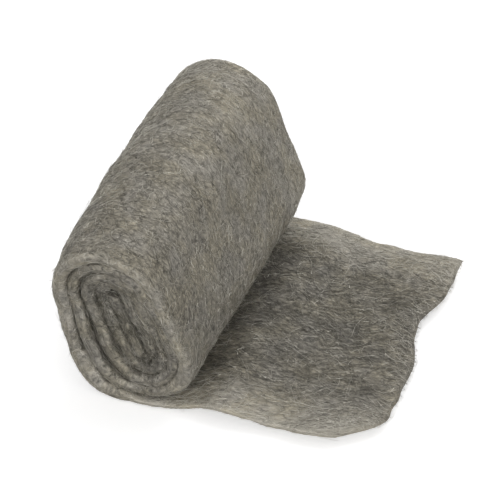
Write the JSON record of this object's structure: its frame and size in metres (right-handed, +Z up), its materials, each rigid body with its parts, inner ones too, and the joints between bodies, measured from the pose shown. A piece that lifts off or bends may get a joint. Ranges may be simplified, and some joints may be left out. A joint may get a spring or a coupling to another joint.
{
  "type": "steel wool pad",
  "caption": "Oval roll of a long steel wool ribbon in tight flat turns, with its loose outer end let out as a tail that lies on the table.",
  "frame": {"origin": "middle of the bounding box seen from above, at the height of the flat foot the pad rests on", "axes": "+Z up, +Y along the roll's axis from its near end to its far end, +X from the roll towards the free end of the tail"},
  "size_m": [0.106, 0.1026, 0.063],
  "materials": {
    "steel_wool": "matte grey mat of fine steel fibres with a slight brown cast and fine glints"
  },
  "bodies": {
    "root": {"rolled_ribbon": "steel_wool"}
  },
  "joints": []
}
